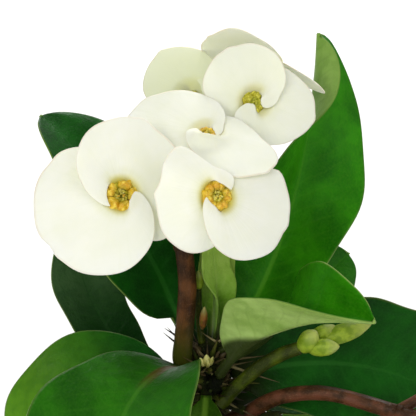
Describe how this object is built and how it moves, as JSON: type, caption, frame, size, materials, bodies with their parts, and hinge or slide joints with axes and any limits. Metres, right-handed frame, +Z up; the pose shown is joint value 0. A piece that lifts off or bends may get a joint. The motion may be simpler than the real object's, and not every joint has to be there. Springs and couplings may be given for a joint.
{
  "type": "potted crown of thorns plant",
  "caption": "Crown of thorns plant in a clay pot: thorny stem, rosette of spatulate leaves, forked stalks with heads of paired white bracts round yellow eyes, and stalks in bud.",
  "frame": {"origin": "centre of the pot's flat foot, on the surface it stands on", "axes": "+Z up along the stem, -Y towards the best side, +X to the right of it, where the side stalk leans"},
  "size_m": [0.1757, 0.1715, 0.269],
  "materials": {
    "clay": "unglazed terracotta, matt, a little dusty",
    "soil": "dark crumbly potting soil with bark bits",
    "bark": "grey brown ridged stem with leaf scars",
    "leaf": "fleshy smooth green blade with a satin surface",
    "young_leaf": "pale fresh green blade",
    "stalk": "reddish brown, finely speckled",
    "green_stalk": "olive green, smooth",
    "bud": "yellow green, smooth",
    "bract": "soft creamy white, faintly translucent",
    "eye": "yellow to orange glands and stamens"
  },
  "bodies": {
    "root": {"pot": "clay", "soil": "soil", "stem": "bark", "leaf_front_left": "leaf", "leaf_left_low": "leaf", "leaf_left_mid": "leaf", "leaf_left_tall": "leaf", "leaf_right_tall": "leaf", "leaf_right_rear": "leaf", "leaf_right_trough": "leaf", "leaf_right_low": "leaf", "leaf_young": "young_leaf", "leaf_young_rear": "young_leaf", "leaf_front": "leaf", "leaf_front_right": "leaf", "leaf_rear_left": "leaf", "leaf_rear": "leaf", "leaf_rear_tall": "leaf", "leaf_rear_right": "leaf", "leaf_old_left": "leaf", "leaf_old_rear": "leaf", "leaf_old_right": "leaf", "stalk_main": "stalk", "stalk_side": "stalk", "stalk_bud": "green_stalk", "buds": "bud", "shoot": "green_stalk", "bud_crown": "bud", "flower_left_bracts": "bract", "flower_left_eye": "eye", "flower_left_rear_bracts": "bract", "flower_left_rear_eye": "eye", "flower_front_bracts": "bract", "flower_front_eye": "eye", "flower_right_bracts": "bract", "flower_right_eye": "eye", "flower_rear_right_bracts": "bract", "flower_rear_right_eye": "eye", "flower_middle_bracts": "bract", "flower_middle_eye": "eye", "flower_rear_left_bracts": "bract", "flower_rear_left_eye": "eye", "flower_rear_bracts": "bract", "flower_rear_eye": "eye", "side_flower_front_bracts": "bract", "side_flower_front_eye": "eye", "side_flower_top_bracts": "bract", "side_flower_top_eye": "eye", "side_flower_rear_bracts": "bract", "side_flower_rear_eye": "eye"}
  },
  "joints": []
}
